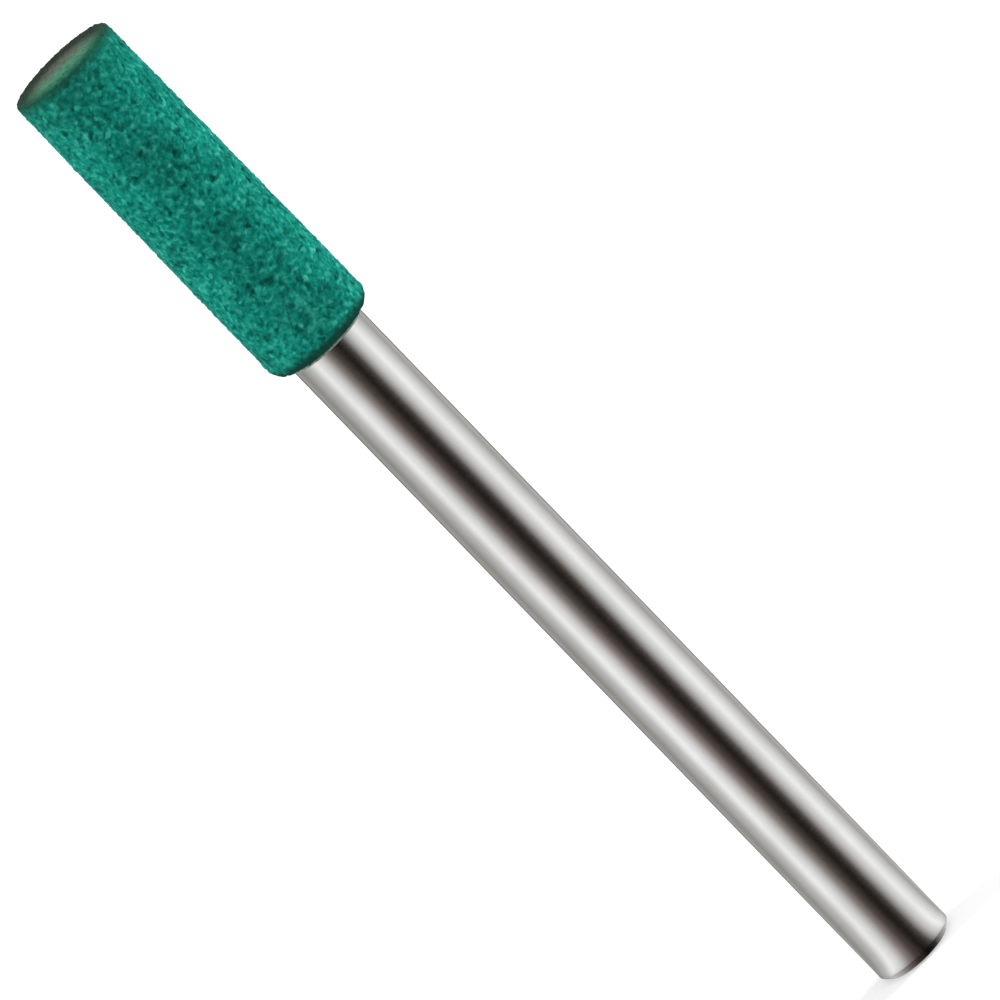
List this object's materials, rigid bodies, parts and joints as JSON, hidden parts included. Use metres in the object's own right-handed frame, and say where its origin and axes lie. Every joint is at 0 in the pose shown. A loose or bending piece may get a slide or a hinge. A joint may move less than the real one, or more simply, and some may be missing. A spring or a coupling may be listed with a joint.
{
  "type": "mounted point",
  "caption": "Straight green abrasive head with a rounded rear edge, cemented onto the grooved spigot of a slim polished steel shank; grinds and deburrs in a rotary tool.",
  "frame": {"origin": "centre of the flat face at the free end of the shank", "axes": "+Z along the axis of the shank, from its free end towards the tip of the abrasive head"},
  "size_m": [0.0042, 0.0042, 0.0416],
  "materials": {
    "stone": "matte",
    "steel": "polished",
    "cement": "matte"
  },
  "bodies": {
    "root": {"abrasive_head": "stone", "steel_mandrel": "steel", "bonding_cement": "cement"}
  },
  "joints": []
}
